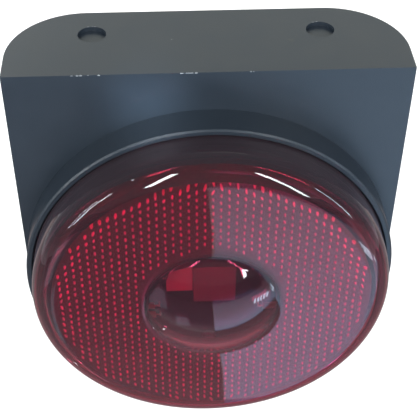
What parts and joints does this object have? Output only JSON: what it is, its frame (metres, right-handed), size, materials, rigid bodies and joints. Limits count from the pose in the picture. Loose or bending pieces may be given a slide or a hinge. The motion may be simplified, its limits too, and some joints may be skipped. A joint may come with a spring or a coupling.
{
  "type": "barricade warning light",
  "caption": "Battery warning light for a barricade: black box housing, round red reflector lens with a centre dome, hinged rear door.",
  "frame": {"origin": "on the flat mounting face, midway between its two holes", "axes": "+Z out of the mounting face, +Y from the lens towards the battery door, +X to the right seen from the lens side"},
  "size_m": [0.12, 0.0706, 0.1325],
  "materials": {
    "black_plastic": "fine satin moulded",
    "red_clear_plastic": "polished",
    "reflector_red": "prismatic",
    "seal_rubber": "matt",
    "board_green": "solder mask",
    "zinc_steel": "zinc plated",
    "white_plastic": "smooth",
    "grey_plastic": "moulded",
    "window_diffuser": "frosted",
    "lamp_red": "polished",
    "chip_black": "moulded",
    "can_sleeve": "shrink sleeve",
    "resistor_tan": "lacquered",
    "tray_plastic": "moulded",
    "cell_jacket": "printed jacket",
    "nickel": "nickel plated",
    "wire_red": "extruded",
    "wire_black": "extruded",
    "switch_case": "tinned",
    "slider_plastic": "moulded",
    "bright_steel": "drawn",
    "retainer_nylon": "moulded",
    "brass": "turned"
  },
  "bodies": {
    "light": {"battery_holder": "tray_plastic", "board_screws": "zinc_steel", "boost_coil": "white_plastic", "cell_1": "cell_jacket", "cell_2": "cell_jacket", "cell_3": "cell_jacket", "cell_4": "cell_jacket", "contact_plates": "nickel", "contact_springs": "nickel", "door_insert": "brass", "door_seal": "seal_rubber", "flasher_chip": "chip_black", "hinge_pin": "bright_steel", "holder_screws": "zinc_steel", "housing": "black_plastic", "lamp_case": "grey_plastic", "lamp_window": "window_diffuser", "lamps": "lamp_red", "lead_black": "wire_black", "lead_red": "wire_red", "lead_switched": "wire_black", "led_board": "board_green", "lens": "red_clear_plastic", "lens_seal": "seal_rubber", "reflex_reflector": "reflector_red", "resistors": "resistor_tan", "storage_capacitor": "can_sleeve", "switch_body": "switch_case", "switch_screws": "zinc_steel"},
    "battery_door": {"battery_door": "black_plastic"},
    "door_screw": {"door_screw": "zinc_steel", "screw_retainer": "retainer_nylon"},
    "switch_slider": {"switch_slider": "slider_plastic"}
  },
  "joints": [
    {"name": "battery_door_hinge", "type": "hinge", "parent": "light", "child": "battery_door", "pos_m": [0, 0.0151, -0.015], "axis": [1, 0, 0], "range_deg": [0, 105]},
    {"name": "door_screw_turn", "type": "hinge", "parent": "battery_door", "child": "door_screw", "pos_m": [0, 0.0123, -0.089], "axis": [0, 1, 0], "continuous": true},
    {"name": "switch_slide", "type": "slide", "parent": "light", "child": "switch_slider", "axis": [1, 0, 0], "range_m": [0, 0.003]}
  ]
}
